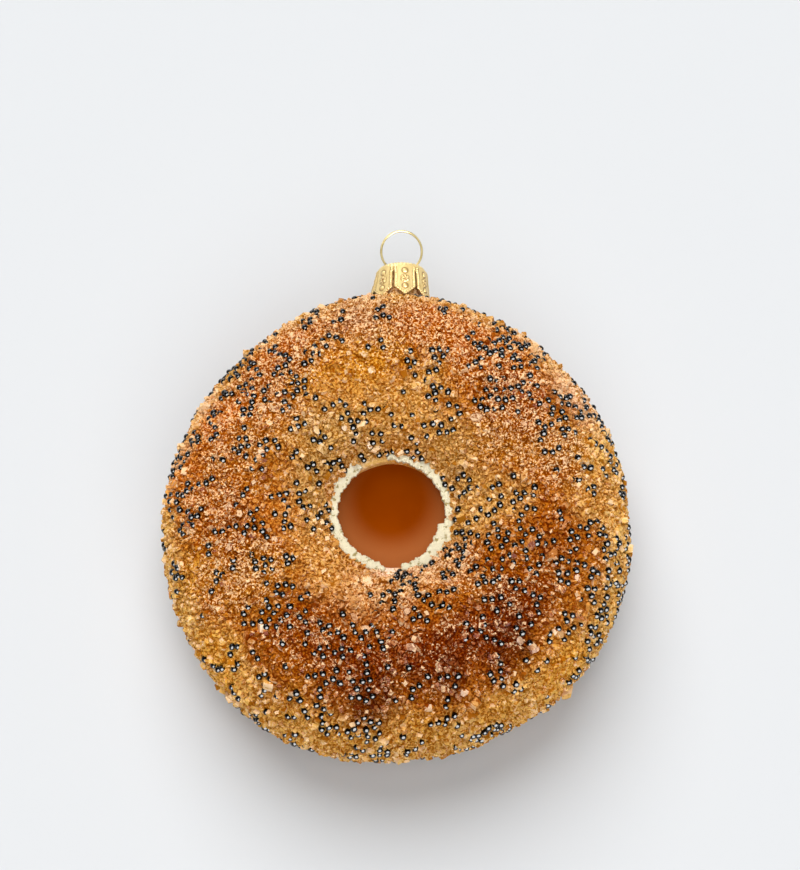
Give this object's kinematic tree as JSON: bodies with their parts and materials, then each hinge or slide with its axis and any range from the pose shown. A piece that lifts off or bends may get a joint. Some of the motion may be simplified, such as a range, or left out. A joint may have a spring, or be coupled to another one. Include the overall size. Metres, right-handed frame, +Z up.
{
  "type": "bagel tree ornament",
  "caption": "Blown-glass tree ornament shaped like a seeded bagel, with glass grit, black beads, a gold crown cap and a wire loop.",
  "frame": {"origin": "middle of the whole ornament's footprint, on the surface that it lies on", "axes": "+Z up out of the front face, with the bagel lying on its back; +Y towards the cap and the hanging loop"},
  "size_m": [0.0835, 0.1011, 0.0324],
  "materials": {
    "painted_glass": "airbrushed amber, beige and toasted brown under a coat of glass grit",
    "glass_grit": "crushed clear and amber glass, bright facets",
    "black_beads": "glossy black glass",
    "cream_rim": "chipped ivory enamel",
    "brown_bowl": "satin brown lacquer inside the hole",
    "gold_cap": "bright stamped gold",
    "pale_wire": "polished pale gold spring wire"
  },
  "bodies": {
    "root": {"bagel": "painted_glass", "cap": "gold_cap", "hanging_loop": "pale_wire"}
  },
  "joints": []
}
